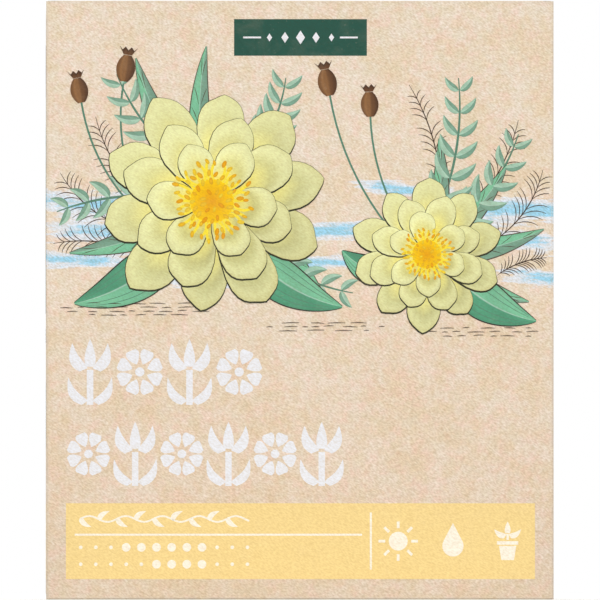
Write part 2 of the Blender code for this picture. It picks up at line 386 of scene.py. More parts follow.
def raw_edge():
    """A cut edge of the board: two liners and the wavy medium between them, over shadow."""
    material, nodes, shader = new_material("raw_edge", 0.1)
    axes = nodes.axes(nodes.add("UVMap", uv_map="EdgeUV").outputs["UV"])
    across = nodes.from_middle(axes["Y"])
    swing = nodes.times(nodes.math('SINE', nodes.times(axes["X"], math.tau)), 0.3)
    medium = nodes.ramp(nodes.math('ABSOLUTE', nodes.math('SUBTRACT', across, swing)), 0.17, 0.09)
    liner = nodes.ramp(nodes.math('ABSOLUTE', across), 0.33, 0.38)
    fibre = nodes.noise(nodes.place(), 2200.0, 3.0, 0.7)
    colour = nodes.mix(liner, nodes.mix(medium, EDGE_SHADOW, EDGE_MEDIUM), EDGE_LINER)
    colour = nodes.tinted(colour, fibre, 0.4, 0.8, 0.35, KRAFT_DARK)
    height = nodes.plus(nodes.math('MAXIMUM', medium, liner), fibre)
    lay_surface(nodes, shader, colour, nodes.sloped(fibre, 0.1, 0.86), height, 0.12 * MM, 0.6)
    return material


BOARD_MATERIALS = (printed("printed_paper", bare, 0.76), kraft_inside(), raw_edge())
OUTER, INNER, EDGE = 0, 1, 2
INK_MATERIAL = printed("printed_ink", inked, 0.72)
WASH_MATERIAL = printed("printed_wash", washed, 0.74)


# Board

def add_object(name, data):
    thing = bpy.data.objects.new(name, data)
    bpy.context.collection.objects.link(thing)
    return thing


def add_shape(name, work, materials):
    """A shape that has been worked out, as an object with its materials."""
    mesh = bpy.data.meshes.new(name)
    work.to_mesh(mesh)
    work.free()
    for material in materials:
        mesh.materials.append(material)
    return add_object(name, mesh)


def board_piece(name, work, body=None, node=None):
    """A piece of board that rides on a body. A crease has none."""
    piece = add_shape(name, work, BOARD_MATERIALS)
    if node:
        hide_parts(node)
    if body:
        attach(piece, body)
    return piece


def board_block(low, high, folds):
    """A block of board between two corners, rounded at its folds, each where two sides meet."""
    def is_at(edge, side):
        limit = max(low.dot(side), high.dot(side)) - GRAZE
        return all(vert.co.dot(side) > limit for vert in edge.verts)
    work = bmesh.new()
    bmesh.ops.create_cube(work, size=1.0)
    for vert in work.verts:
        for axis in range(3):
            vert.co[axis] = high[axis] if vert.co[axis] > 0 else low[axis]
    rounded = [edge for edge in work.edges
               if any(is_at(edge, first) and is_at(edge, second) for first, second in folds)]
    if rounded:
        bmesh.ops.bevel(work, geom=rounded, offset=FOLD_RADIUS, segments=FOLD_STEPS,
                        profile=0.5, affect='EDGES')
    bmesh.ops.recalc_face_normals(work, faces=work.faces)
    return work


def paint_faces(work, outside, inside):
    """Printed paper on faces that look along outside, kraft along inside, raw edge elsewhere."""
    for face in work.faces:
        if max(face.normal.dot(way) for way in outside) > PRINTED_FACING:
            face.material_index = OUTER
        elif face.normal.dot(inside) > KRAFT_FACING:
            face.material_index = INNER
        else:
            face.material_index = EDGE


def lay_edge_uv(work, low, inside, flutes):
    """Edge coordinates: flutes counted along the edge, and 0 to 1 through the board."""
    layer = work.loops.layers.uv.new("EdgeUV")
    through = Vector([abs(part) for part in inside])
    start = low.dot(through)
    for face in work.faces:
        for loop in face.loops:
            place = loop.vert.co
            run = place.dot(flutes) / FLUTE_PITCH if flutes else 0.0
            loop[layer].uv = (run, (place.dot(through) - start) / BOARD)


def smooth(work, angle):
    for face in work.faces:
        face.smooth = True
    for edge in work.edges:
        if len(edge.link_faces) == 2:
            edge.smooth = edge.calc_face_angle() < math.radians(angle)


def wall(name, low, high, folds, outside, inside, flutes=None):
    """A flat part of the carton. flutes is the way across them, where an edge shows them."""
    low, high = Vector(low), Vector(high)
    work = board_block(low, high, folds)
    smooth(work, WALL_SMOOTH)
    paint_faces(work, outside, inside)
    lay_edge_uv(work, low, inside, flutes)
    board_piece(name, work, "carton", "carton_body")


def make_walls():
    left, right, front, back = -HALF_W, HALF_W, -HALF_D, HALF_D
    inner_front, inner_back = front + BOARD, back - BOARD
    wall("front_wall", (left, front, 0), (right, inner_front, FRONT_TOP),
         [(LEFT, FRONT), (RIGHT, FRONT), (DOWN, FRONT)], [FRONT, LEFT, RIGHT, DOWN], BACK, RIGHT)
    wall("back_wall", (left + BOARD, inner_back, BOARD), (right, back, BACK_TOP),
         [(LEFT, BACK), (RIGHT, BACK), (DOWN, BACK)], [BACK, RIGHT, DOWN], FRONT, RIGHT)
    wall("left_wall", (left, inner_front, BOARD), (left + BOARD, back, SIDE_TOP),
         [(DOWN, LEFT)], [LEFT, DOWN], RIGHT)
    wall("right_wall", (right - BOARD, inner_front, BOARD), (right, inner_back, SIDE_TOP),
         [(DOWN, RIGHT)], [RIGHT, DOWN], LEFT)


def make_bottom():
    edge = HALF_W - BOARD
    front, back = -HALF_D + BOARD, HALF_D - BOARD
    wall("bottom_panel", (-HALF_W + BOTTOM_INSET, front, 0),
         (HALF_W - BOTTOM_INSET, HALF_D - BOTTOM_BACK_GAP, BOARD), [], [DOWN], UP)
    for name, near, far in (("bottom_flap_left", -edge, -edge + MINOR_FLAP),
                            ("bottom_flap_right", edge - MINOR_FLAP, edge)):
        wall(name, (near, front, BOARD), (far, back, 2 * BOARD), [], [DOWN], UP, BACK)
    wall("glue_flap", (-edge, back - GLUE_FLAP, 2 * BOARD),
         (-edge + BOARD, back, GLUE_FLAP_TOP), [], [LEFT], RIGHT)


# Flaps and creases

def corner_arc(before, corner, after, radius):
    """Points of the arc that rounds one corner of an outline, as complex numbers."""
    into = (before - corner) / abs(before - corner)
    out = (after - corner) / abs(after - corner)
    half = abs(cmath.phase(out / into)) / 2
    centre = corner + (into + out) / abs(into + out) * radius / math.sin(half)
    first, last = (cmath.phase(corner + way * radius / math.tan(half) - centre)
                   for way in (into, out))
    sweep = (last - first + math.pi) % math.tau - math.pi
    return [centre + cmath.rect(radius, first + sweep * step / CORNER_STEPS)
            for step in range(CORNER_STEPS + 1)]


def flap_outline(points, radii):
    outline = []
    for index, (point, radius) in enumerate(zip(points, radii)):
        if radius:
            outline += corner_arc(points[index - 1], point, points[index + 1], radius)
        else:
            outline.append(point)
    return outline


def tongue(start, end, near, far, corner):
    """Outline of a flap that is alike to both sides, with its far corners rounded."""
    return flap_outline([complex(start, -near), complex(end, -far), complex(end, far),
                         complex(start, near)], [0, corner, corner, 0])


def flap(name, node, body, outline, place):
    """A flat flap of board. place says where a reach, a way along and a height above it are."""
    work = bmesh.new()
    upper, lower = ([work.verts.new(place(p.real, p.imag, up)) for p in outline]
                    for up in (HALF_BOARD, -HALF_BOARD))
    work.faces.new(upper).material_index = OUTER
    work.faces.new(lower).material_index = INNER
    layer = work.loops.layers.uv.new("EdgeUV")
    for index, point in enumerate(outline):
        after = (index + 1) % len(outline)
        side = work.faces.new((upper[index], upper[after], lower[after], lower[index]))
        side.material_index = EDGE
        ends = (point, outline[after], outline[after], point)
        step = outline[after] - point
        cuts_flutes = abs(step.imag) > abs(step.real)
        for loop, end, depth in zip(side.loops, ends, (1, 1, 0, 0)):
            loop[layer].uv = (end.imag / FLUTE_PITCH if cuts_flutes else 0.0, depth)
    bmesh.ops.recalc_face_normals(work, faces=work.faces)
    board_piece(name, work, body, node)


def make_lid():
    half = LID_HIGH.x
    end = LID_PIVOT.y - TUCK_PIVOT.y - TUCK_REACH
    flap("lid_board", "lid_panel", "lid",
         tongue(CREASE_REACH, end, half, half, LID_CORNER),
         lambda reach, along, up: Vector((along, LID_PIVOT.y - reach, LID_PIVOT.z + up)))


def make_tuck():
    half = TUCK_HIGH.x
    end = TUCK_PIVOT.z - TUCK_LOW.z
    slope = TUCK_TAPER / end * TUCK_REACH
    flap("tuck_board", "tuck_flap", "tuck",
         tongue(TUCK_REACH, end, half - slope, half - TUCK_TAPER, TUCK_CORNER),
         lambda reach, along, up: Vector((along, TUCK_PIVOT.y - up, TUCK_PIVOT.z - reach)))


def make_dust_flap(side, name):
    reach = DUST_PIVOT.x - DUST_LOW.x
    slope = (DUST_REAR_Y - DUST_REAR_TIP_Y) / reach * CREASE_REACH
    points = [complex(CREASE_REACH, DUST_FRONT_Y), complex(DUST_SHOULDER, DUST_FRONT_Y),
              complex(2 * DUST_SHOULDER, DUST_SHOULDER_Y), complex(reach, DUST_FRONT_TIP_Y),
              complex(reach, DUST_REAR_TIP_Y), complex(CREASE_REACH, DUST_REAR_Y - slope)]
    outline = flap_outline(points, [0, 0, 0, DUST_CORNER, DUST_CORNER, 0])
    flap("dust_board_" + name, "dust_flap_" + name, "dust_" + name, outline,
         lambda out, along, up: Vector((side * (DUST_PIVOT.x - out), along, DUST_PIVOT.z + up)))


def crease_section(reach):
    """Cross-section of a folded crease round its pivot: the outer side, then the inner side.

    The fold's wall comes up from below and its flap leaves to the negative side. The score is
    pressed in along the middle of the outer side.
    """
    edge = HALF_BOARD
    outer = [complex(edge, -reach), complex(edge, -reach / 2)]
    for step in range(CREASE_ARC + 1):
        score = SCORE_DEPTH * math.sin(math.pi * step / CREASE_ARC) ** 2
        outer.append(cmath.rect(edge - score, math.pi / 2 * step / CREASE_ARC))
    outer += [complex(-reach / 2, edge), complex(-reach, edge)]
    inner = [complex(-reach, -edge), complex(-edge - CREASE_GAP, -edge),
             complex(-edge, -edge - CREASE_GAP), complex(-edge, -reach)]
    return outer, inner


def crease(name, ends, place, reach=CREASE_REACH):
    """A bent strip of board that joins a wall to its flap."""
    outer, inner = crease_section(reach)
    section = outer + inner
    work = bmesh.new()
    rings = []
    for step in range(CREASE_STEPS + 1):
        along = ends[0] + (ends[1] - ends[0]) * step / CREASE_STEPS
        rings.append([work.verts.new(place(p.real, p.imag, along)) for p in section])
    for first, second in zip(rings, rings[1:]):
        for index in range(len(section)):
            after = (index + 1) % len(section)
            face = work.faces.new((first[index], first[after], second[after], second[index]))
            face.material_index = OUTER if index < len(outer) - 1 else INNER
    layer = work.loops.layers.uv.new("EdgeUV")
    for ring in (rings[0], rings[-1]):
        cap = work.faces.new(ring)
        cap.material_index = EDGE
        for spot, corner in enumerate(cap.loops):
            corner[layer].uv = (0.0, 1.0 if spot < len(outer) else 0.0)
    bmesh.ops.recalc_face_normals(work, faces=work.faces)
    smooth(work, CREASE_SMOOTH)
    piece = board_piece(name, work)
    start = place(HALF_BOARD, -reach, 0.0)
    end = place(-reach, HALF_BOARD, 0.0)
    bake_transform(piece)
    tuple(start)
    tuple(end)


def make_creases():
    crease("lid_crease_strip", (-LID_HIGH.x, LID_HIGH.x),
           lambda out, up, along: Vector((along, LID_PIVOT.y + out, LID_PIVOT.z + up)))
    half = TUCK_HIGH.x - TUCK_CREASE_INSET
    crease("tuck_crease_strip", (-half, half),
           lambda out, up, along: Vector((along, TUCK_PIVOT.y - out, TUCK_PIVOT.z + up)),
           TUCK_REACH)
    for side, name in ((-1, "left"), (1, "right")):
        crease("dust_crease_strip_" + name,
               (DUST_FRONT_Y, DUST_REAR_Y - DUST_CREASE_INSET),
               lambda out, up, along, side=side: Vector(
                   (side * (DUST_PIVOT.x + out), along, DUST_PIVOT.z + up)))


make_walls()
make_bottom()
make_lid()
make_tuck()
make_dust_flap(-1, "left")
make_dust_flap(1, "right")
make_creases()


# Printing: closed slips of ink, stacked in layers, one or a few pieces for each face

EMBED = 0.05 * MM
LIFT = 0.004 * MM
SHAPE_RISE = 0.001 * MM
STRIP = 0.02
PACK_GAP = 1.0
# Layers from the paper up, and the piece that each is part of
LAYERS = {"wash": "wash", "flats": "flat_print", "details": "flat_print",
          "ink_far": "linework", "stems": "foliage", "foliage_far": "foliage",
          "ink_leaf": "linework", "foliage_low": "foliage", "foliage_high": "foliage",
          "foliage_top": "foliage", "ink": "linework", "pods": "foliage",
          "petals_outer_low": "blossoms", "petals_outer_high": "blossoms",
          "petals_middle_low": "blossoms", "petals_middle_high": "blossoms",
          "petals_inner_low": "blossoms", "petals_inner_high": "blossoms",
          "threads": "blossoms", "anthers": "blossoms"}
# How the names of layers start whose shapes all lie level, and faces whose ink is one piece
LEVEL_LAYERS = ("ink", "petals")
WHOLE_PRINTS = ("left", "right", "lid")


def front_place(u, v, lift):
    """A place on the front, which runs on round the side folds."""
    flat = HALF_W - FOLD_RADIUS
    turn = min(max(0.0, (abs(u) - flat) / FOLD_RADIUS), math.pi / 2)
    reach = FOLD_RADIUS + lift
    across = min(abs(u), flat) + math.sin(turn) * reach
    return (math.copysign(across, u), -HALF_D + FOLD_RADIUS - math.cos(turn) * reach, v)


FACES = {
    "front": front_place,
    "back": lambda u, v, lift: (-u, HALF_D + lift, v),
    "left": lambda u, v, lift: (-HALF_W - lift, -u, v),
    "right": lambda u, v, lift: (HALF_W + lift, u, v),
    "lid": lambda u, v, lift: (u, v, HEIGHT + lift),
}
FLAT_END = (HALF_W - FOLD_RADIUS) / MM
FOLD_END = FLAT_END + FOLD_RADIUS * math.pi / 2 / MM
SIDE_END = (HALF_D - FOLD_RADIUS) / MM


def blend(first, second, share):
    return tuple(a + (b - a) * share for a, b in zip(first, second))


def toned(colour, factor):
    return tuple(value * factor for value in colour[:3]) + (1.0,)


def held(value):
    """A value held between 0 and 1."""
    return min(1.0, max(0.0, value))


def mirrored(point, flip):
    return complex(point.real * flip, point.imag)


def headings(path):
    """The way that a path runs at each of its points."""
    last = len(path) - 1
    return [path[min(index + 1, last)] - path[max(index - 1, 0)] for index in range(last + 1)]


def normals(path):
    """Unit ways to the left of a path, at each of its points."""
    return [way / abs(way) * 1j for way in headings(path)]


def box_of(points):
    """The lowest and the highest corner of the box round some points."""
    return (complex(min(p.real for p in points), min(p.imag for p in points)),
            complex(max(p.real for p in points), max(p.imag for p in points)))


class Layer:
    """Flat shapes of ink. Points are complex numbers in millimetres."""

    def __init__(self, material, rise):
        self.material = material
        self.rise = rise
        self.level = self.top = 0.0
        self.shapes, self.points, self.levels, self.inks, self.faces = [], [], [], [], []

    def dot(self, point, colour, cover=1.0):
        self.points.append(point)
        self.levels.append(self.level)
        self.inks.append(tuple(colour[:3]) + (cover,))
        return len(self.points) - 1

    def raise_over(self, points):
        """Puts the next shape just above the shapes that its box meets."""
        low, high = box_of(points)
        under = [level for near, far, level in self.shapes
                 if near.real < high.real and low.real < far.real
                 and near.imag < high.imag and low.imag < far.imag]
        self.level = max(under, default=0.0) + self.rise
        self.top = max(self.top, self.level)
        self.shapes.append((low, high, self.level))

    def grid(self, rows):
        """A patch of quads. Each row is a list of point, colour and, if it is thin, cover."""
        self.raise_over([spot[0] for row in rows for spot in row])
        laid = [[self.dot(*spot) for spot in row] for row in rows]
        for low, high in zip(laid, laid[1:]):
            for index in range(len(low) - 1):
                self.faces.append((low[index], low[index + 1], high[index + 1], high[index]))

    def fill(self, outline, colour, middle=None):
        """A filled outline, fanned from its middle, which may have a colour of its own."""
        self.raise_over(outline)
        centre = self.dot(sum(outline) / len(outline), middle or colour)
        rim = [self.dot(point, colour) for point in outline]
        for index, spot in enumerate(rim):
            self.faces.append((centre, spot, rim[(index + 1) % len(rim)]))

    def ribbon(self, path, halves, colour, lanes=(-1, 1)):
        """A band of one colour along a path. Its lanes lie at shares of the half width."""
        self.grid([[(point + half * lane, colour) for lane in lanes]
                   for point, half in zip(path, halves)])

    def line(self, path, width, colour, taper=True):
        """A stroke along a path, thinner at its ends where it tapers."""
        halves = []
        for index, normal in enumerate(normals(path)):
            share = 0.06 + 0.88 * index / (len(path) - 1)
            press = 0.25 + 0.75 * math.sin(math.pi * share) if taper else 1.0
            halves.append(normal * width * press / 2)
        self.ribbon(path, halves, colour)


def faced_out(polygon, points, tops, place):
    """The polygon's points in the order that faces it away from the board."""
    middle = sum(points[index] for index in polygon) / len(polygon) * MM
    outward = (Vector(place(middle.real, middle.imag, MM))
               - Vector(place(middle.real, middle.imag, 0.0)))
    first, second, third = (Vector(tops[index]) for index in polygon[:3])
    facing = (second - first).cross(third - first).dot(outward)
    return tuple(polygon) if facing > 0 else tuple(reversed(polygon))


def packed(sizes):
    """Where blocks lie in rows, tallest first, and the side of the square that holds them."""
    order = sorted(range(len(sizes)), key=lambda index: -sizes[index].imag)
    side = max(max(size.real, size.imag) for size in sizes)
    while True:
        spots, right, up, tall = {}, 0.0, 0.0, 0.0
        for index in order:
            if right + sizes[index].real > side:
                right, up = 0.0, up + tall + PACK_GAP
            if right == 0.0:
                tall = sizes[index].imag
            spots[index] = complex(right, up)
            right += sizes[index].real + PACK_GAP
        if up + tall <= side:
            return [spots[index] for index in range(len(sizes))], side
        side *= 1.02


def closed(ups, count):
    """Printed tops, then thin sides along their open edges, then hidden undersides."""
    rims = {}
    for polygon in ups:
        for start, end in zip(polygon, polygon[1:] + polygon[:1]):
            if rims.pop((end, start), None) is None:
                rims[(start, end)] = True
    sides = [(start, start + count, end + count, end) for start, end in rims]
    downs = [tuple(index + count for index in reversed(polygon)) for polygon in ups]
    return ups + sides + downs


def print_piece(name, face, body, stack):
    """Layers of one ink as one piece, each lifted off the board by its own height."""
    place = FACES[face]
    points, tops, inks, spots, ups = [], [], [], [], []
    boxes = [box_of(layer.points) for layer, lift in stack]
    blocks, side = packed([high - low for low, high in boxes])
    for (layer, lift), (low, high), block in zip(stack, boxes, blocks):
        first = len(points)
        points += layer.points
        inks += layer.inks
        spots += [(point - low + block) / side for point in layer.points]
        tops += [place(p.real * MM, p.imag * MM, lift + level)
                 for p, level in zip(layer.points, layer.levels)]
        ups += [faced_out([first + index for index in polygon], points, tops, place)
                for polygon in layer.faces]
    unders = [place(p.real * MM, p.imag * MM, -EMBED) for p in points]
    mesh = bpy.data.meshes.new(name)
    mesh.from_pydata(tops + unders, [], closed(ups, len(points)))
    ink = mesh.color_attributes.new("ink", 'FLOAT_COLOR', 'POINT')
    ink.data.foreach_set("color", [value for colour in inks * 2 for value in colour])
    lay_print_uv(mesh, spots, len(ups))
    mesh.materials.append(stack[0][0].material)
    piece = add_object(name, mesh)
    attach(piece, body)


def lay_print_uv(mesh, spots, top_count):
    """The printed sides fill the map. What is hidden shares a small strip below them."""
    layer = mesh.uv_layers.new(name="OFBake")
    for polygon in mesh.polygons:
        shown = polygon.index < top_count
        for index in polygon.loop_indices:
            spot = spots[mesh.loops[index].vertex_index % len(spots)]
            if shown:
                layer.data[index].uv = (spot.real, STRIP + spot.imag * (1 - STRIP))
            else:
                layer.data[index].uv = (spot.real * STRIP, spot.imag * STRIP * 0.9)


def new_layer(name):
    if name == "wash":
        return Layer(WASH_MATERIAL, 0.0)
    return Layer(INK_MATERIAL, 0.0 if name.startswith(LEVEL_LAYERS) else SHAPE_RISE)


class Print:
    """What is printed on one face, in layers from the paper up."""

    def __init__(self, face, body, seed):
        self.face = face
        self.body = body
        self.random = random.Random(seed)
        self.layers = {name: new_layer(name) for name in LAYERS}

    def on(self, name):
        return self.layers[name]

    def finish(self):
        lift = 0.0
        pieces = {}
        for name, layer in self.layers.items():
            if layer.faces:
                kind = LAYERS[name]
                if self.face in WHOLE_PRINTS and kind != "wash":
                    kind = "print"
                lift += LIFT
                pieces.setdefault(kind, []).append((layer, lift))
                lift += layer.top
        for kind, stack in pieces.items():
            print_piece(self.face + "_" + kind, self.face, self.body, stack)


# Inks and pens

WHITE_INK = srgb(237, 236, 239)
PLATE_GREEN = srgb(38, 84, 70)
BAND_YELLOW = srgb(247, 217, 147)
LINE_BROWN = srgb(80, 63, 50)
LINE_DARK = srgb(52, 45, 38)
SAGE = srgb(128, 168, 144)
SAGE_PALE = srgb(172, 208, 182)
SAGE_DEEP = srgb(92, 134, 112)
LEAF_GREEN = srgb(128, 196, 156)
LEAF_DEEP = srgb(88, 160, 124)
SKY_BLUE = srgb(150, 212, 238)
CREAM_INK = srgb(253, 244, 225)
PETAL_PALE = srgb(240, 240, 178)
PETAL_MID = srgb(243, 228, 112)
PETAL_SHADE = srgb(196, 186, 122)
PETAL_GOLD = srgb(252, 206, 8)
HEART_GOLD = srgb(236, 164, 4)
PETAL_LINE = srgb(52, 52, 34)
ANTHER = srgb(244, 166, 0)
ANTHER_PALE = srgb(253, 228, 60)
POD_BROWN = srgb(112, 74, 44)
POD_PALE = srgb(158, 112, 68)
POD_DARK = srgb(72, 48, 32)
CLAY = srgb(206, 140, 96)
CLAY_PALE = srgb(222, 160, 116)

# Widths of the pens, in millimetres
VEIN_PEN, HATCH_PEN, FROND_PEN, LEAF_PEN, BOLD_PEN = 0.20, 0.24, 0.26, 0.28, 0.34
GROUND_PEN, POT_PEN, PLATE_PEN, RULE_PEN = 0.4, 0.45, 0.5, 0.57
POD_STEM, STEM = 0.55, 0.7

# Where the light on the pictured petals comes from
LIGHT_TURN = math.radians(125)
LEAF_FULLNESS, BROAD_FULLNESS = 0.7, 0.58
LEAF_LANES = (-1.0, -0.82, -0.45, -0.06, 0.0, 0.06, 0.45, 0.82, 1.0)
VEIN_LANES = (-1.0, -0.7, -0.42, 0.42, 0.7, 1.0)
LEAF_VEINS = 6
FROND_PAIRS = 13
HATCH_GAP = 1.1
# Rings of petals: name, count, length, spread, age, and where the next ring's shadow falls
RINGS = (("outer", 10, 1.0, 0.36, 0.30, 0.80), ("middle", 8, 0.78, 0.42, 0.12, 0.74),
         ("inner", 6, 0.56, 0.50, 0.0, 0.66))
# Rings of stamens: count and reach
STAMEN_RINGS = ((30, 1.0), (24, 0.76), (16, 0.52), (8, 0.26))


# Drawing

def curve(start, first, second, end, steps):
    """Points of a cubic curve."""
    spots = []
    for step in range(steps + 1):
        t = step / steps
        r = 1 - t
        spots.append(r ** 3 * start + 3 * r * r * t * first + 3 * r * t * t * second + t ** 3 * end)
    return spots


def arc_path(start, end, bulge, steps):
    """A bowed path. The bulge is to the left of the way, as a share of the length."""
    way = end - start
    lift = way * 1j * bulge
    return curve(start, start + way * 0.33 + lift, start + way * 0.67 + lift, end, steps)


def circle(centre, radius, count, stretch=1.0, turn=0.0):
    return [centre + complex(math.cos(a) * radius, math.sin(a) * radius * stretch)
            * cmath.rect(1, turn) for a in (math.tau * k / count for k in range(count))]


def petal(layer, root, angle, length, spread, age=0.0, shadow=None, tuck=0.0, rows=14, half=8):
    """One broad petal: golden at the root, pale towards the tip, shaded as if cupped.

    It fans out from its root by spread to either side. shadow is where the next ring of petals
    ends, as a share of the length, and tuck is how deep its sides lie under its neighbours.
    """
    glow = math.cos(angle - LIGHT_TURN)
    grid = []
    for row in range(rows + 1):
        t = 0.03 + 0.97 * row / rows
        line = []
        for step in range(-half, half + 1):
            s = step / half
            fan = spread * s * (1.12 - 0.12 * t)
            point = root + cmath.rect(length * petal_reach(s, angle) * t, angle + fan)
            tone = blend(PETAL_MID, PETAL_PALE, held((t - 0.40) * 2.0))
            tone = blend(PETAL_GOLD, tone, held(t * 2.4 - 0.15))
            tone = toned(tone, petal_light(t, s, glow, angle, shadow, tuck, step))
            rim = abs(s) ** 9 * 0.5 + t ** 16 * 0.45
            tone = blend(tone, PETAL_SHADE, min(1.0, rim * (0.8 - 0.4 * glow) + age * 0.35))
            line.append((point, tone))
        grid.append(line)
    layer.grid(grid)
    outer_rows = grid[rows // 3:]
    petal_rim(layer, [line[0][0] for line in outer_rows] + [spot[0] for spot in grid[-1][1:-1]]
              + [line[-1][0] for line in reversed(outer_rows)], length)


def petal_reach(s, angle):
    """How far a petal goes, by the place across it: round shoulders, a soft tip and a wave."""
    reach = 1 - 0.34 * abs(s) ** 2.4 - 0.14 * abs(s) ** 9
    reach *= 1 + 0.035 * math.exp(-(s / 0.16) ** 2)
    return reach * (1 + 0.012 * math.sin(5 * s + 7 * angle))


def petal_light(t, s, glow, angle, shadow, tuck, step):
    """How light a place on a petal is: veins, a shallow cup, and shade from its neighbours."""
    light = 1 + 0.04 * math.cos(step * math.pi) * t * (1 - 0.5 * t)
    light += 0.13 * s * math.sin(LIGHT_TURN - angle) + 0.05 * glow
    light += 0.05 * abs(s) ** 3 * t
    light -= tuck * 0.22 * max(0.0, abs(s) - 0.35) * (1.25 - t)
    if shadow:
        light -= 0.20 * math.exp(-((t - shadow) / 0.10) ** 2) * (1 - 0.4 * glow)
    return light


def petal_rim(layer, edge, length):
    """A dark pen line just outside a petal's edge, heavier where it faces down."""
    last = len(edge) - 1
    rims = []
    for index, normal in enumerate(normals(edge)):
        weight = 0.10 + 0.42 * max(0.0, normal.imag) + 0.10 * max(0.0, normal.real)
        weight *= min(1.0, length / 20, 0.2 + 3 * min(index, last - index) / last)
        rims.append(-normal * weight)
    layer.ribbon(edge, rims, PETAL_LINE, (0, 1))


def blossom(sheet, centre, radius, turn):
    """A round double flower: three rings of petals in crossed layers, then stamens."""
    for order, (ring, count, reach, spread, age, shadow) in enumerate(RINGS):
        for index in range(count):
            angle = turn + math.tau * (index + order * 0.37) / count
            angle += 0.05 * math.sin(index * 3.1 + order)
            wobble = 1 + 0.045 * math.sin(index * 2.4 + order)
            low = index % 2
            petal(sheet.on("petals_" + ring + ("_low" if low else "_high")), centre, angle,
                  radius * reach * wobble, spread, age + 0.12 * low, shadow, low)
    stamens(sheet, centre, radius * 0.34)


def stamens(sheet, centre, radius):
    """Golden threads that curl out from the middle, each with its anther."""
    threads = sheet.on("threads")
    threads.fill(circle(centre, radius * 0.60, 28), PETAL_GOLD, HEART_GOLD)
    for ring, (count, reach) in enumerate(STAMEN_RINGS):
        for index in range(count):
            angle = math.tau * (index + ring * 0.5 + sheet.random.uniform(-0.2, 0.2)) / count
            tip = centre + cmath.rect(radius * reach * sheet.random.uniform(0.86, 1.1), angle)
            if ring == 0:
                foot = centre + cmath.rect(radius * 0.58, angle)
                bow = 0.25 * math.sin(index * 1.9)
                threads.line(arc_path(foot, tip, bow, 5), radius * 0.075, ANTHER_PALE, False)
            size = radius * sheet.random.uniform(0.075, 0.11)
            colour = blend(ANTHER, ANTHER_PALE, sheet.random.random() * 0.8)
            sheet.on("anthers").fill(circle(tip, size, 8, 0.55, angle + 0.5 * math.sin(index)),
                                     toned(colour, 0.80), colour)


def leaf_shares(path):
    """How far along a leaf each point of its path is, kept just off 0 and 1."""
    last = len(path) - 1
    return [0.01 + 0.98 * index / last for index in range(last + 1)]


def leaf_halves(path, width, fullness):
    """The way from a leaf's middle to its left edge, at each point of its path."""
    return [normal * width / 2 * math.sin(math.pi * share ** fullness) ** 0.8
            for normal, share in zip(normals(path), leaf_shares(path))]


def leaf(layer, path, width, light=SAGE_PALE, dark=SAGE, fullness=LEAF_FULLNESS):
    """A leaf along a path, one half lit and one in shade, with a pale midrib."""
    rows = []
    for point, half, share in zip(path, leaf_halves(path, width, fullness), leaf_shares(path)):
        row = []
        for lane in LEAF_LANES:
            side = light if lane > 0 else dark
            tone = blend(side, toned(side, 0.80), abs(lane) ** 6)
            if lane == 0:
                tone = blend(light, WHITE_INK, 0.35)
            tone = toned(tone, 0.95 + 0.07 * math.sin(share * 9 + lane * 3))
            row.append((point + half * lane, tone))
        rows.append(row)
    layer.grid(rows)


def leaf_veins(ink, path, width):
    """Fine side veins and a tapered outline, drawn over a leaf."""
    last = len(path) - 1
    halves = leaf_halves(path, width, LEAF_FULLNESS)
    for side in (-1, 1):
        rim = [point + half * side for point, half in zip(path, halves)]
        ink.line(rim, LEAF_PEN, LINE_BROWN)
        for mark in range(1, LEAF_VEINS):
            near = int(last * mark / LEAF_VEINS)
            far = min(last, near + max(2, last // 6))
            foot = path[near]
            ink.line([foot + (rim[near] - foot) * 0.12, foot + (rim[far] - foot) * 0.55,
                      foot + (rim[far] - foot) * 0.86], VEIN_PEN, LINE_BROWN)


def long_leaves(sheet, heart, bulge, rows):
    """Long leaves that fan out behind a blossom. Each row has angle, reach and width."""
    for angle, reach, width in rows:
        path = arc_path(heart, heart + cmath.rect(reach, math.radians(angle)), bulge, 16)
        leaf(sheet.on("foliage_far"), path, width, LEAF_GREEN, SAGE)
        leaf_veins(sheet.on("ink_leaf"), path, width)


def branch(sheet, path, count, length, width, layers=("foliage_low", "foliage_high"),
           lean=0.75, light=SAGE_PALE):
    """A stem with leaves in pairs that get smaller towards its end."""
    sheet.on("stems").line(path, STEM, SAGE_DEEP)
    ways = headings(path)
    for index in range(count):
        place = (index + 0.8) / (count + 0.4) * (len(path) - 1)
        near = int(place)
        foot = path[near] + (path[near + 1] - path[near]) * (place - near)
        size = length * (1 - 0.5 * index / count)
        for side in (-1, 1):
            angle = cmath.phase(ways[near]) + side * lean
            tip = foot + cmath.rect(size, angle)
            route = arc_path(foot + cmath.rect(0.4, angle), tip, 0.14 * side, 10)
            leaf(sheet.on(layers[index % 2]), route, width * size / length, light)


def bough(sheet, foot, tip, bulge, count, length, width):
    branch(sheet, arc_path(foot, tip, bulge, 20), count, length, width)


def broad_leaf(sheet, foot, tip, bulge, width):
    """A broad pointed leaf with long bowed veins and an ink outline."""
    path = arc_path(foot, tip, bulge, 20)
    leaf(sheet.on("foliage_top"), path, width, LEAF_GREEN, LEAF_DEEP, BROAD_FULLNESS)
    halves = leaf_halves(path, width, BROAD_FULLNESS)
    for lane in VEIN_LANES:
        vein = [point + half * lane for point, half in zip(path, halves)]
        if abs(lane) == 1.0:
            sheet.on("ink").line(vein, BOLD_PEN, LINE_DARK)
        else:
            sheet.on("ink").line(vein[1:-2], VEIN_PEN, SAGE_DEEP)


